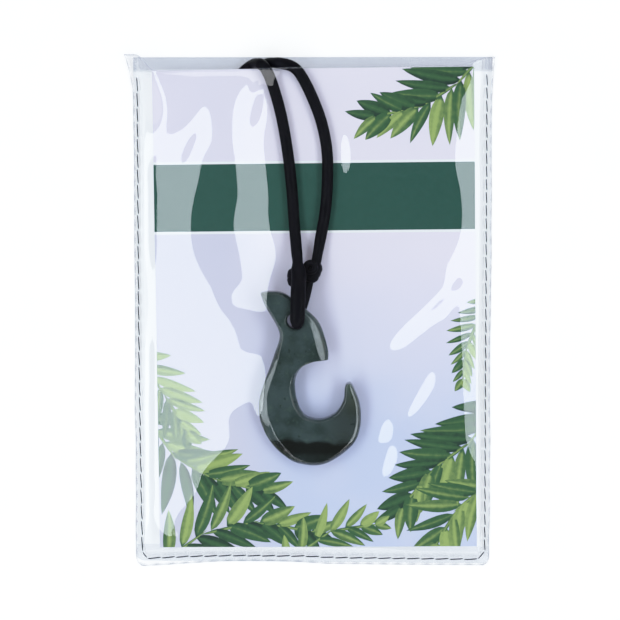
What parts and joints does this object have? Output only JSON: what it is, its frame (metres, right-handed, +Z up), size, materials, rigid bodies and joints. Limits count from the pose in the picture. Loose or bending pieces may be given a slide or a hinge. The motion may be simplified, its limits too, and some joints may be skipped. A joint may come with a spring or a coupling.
{
  "type": "fish hook pendant on a neck cord, with its card in a clear pouch",
  "caption": "Carved stone fish hook pendant on a knotted neck cord, laid on a printed card inside a clear sewn pouch that is open at the top.",
  "frame": {"origin": "middle of the pouch on the surface that it lies on", "axes": "+Y towards the pouch's open mouth and the hook's head, +Z up out of the card's face, +X to the right as the card is read"},
  "size_m": [0.112, 0.1592, 0.017],
  "materials": {
    "stone": "polished dark green nephrite",
    "cord": "black satin braid",
    "card": "printed coated board",
    "clear_film": "clear soft vinyl"
  },
  "bodies": {
    "root": {"hook_pendant": "stone", "cord": "cord", "knot_left": "cord", "knot_right": "cord", "card": "card", "pouch_back": "clear_film", "pouch_front": "clear_film"}
  },
  "joints": []
}
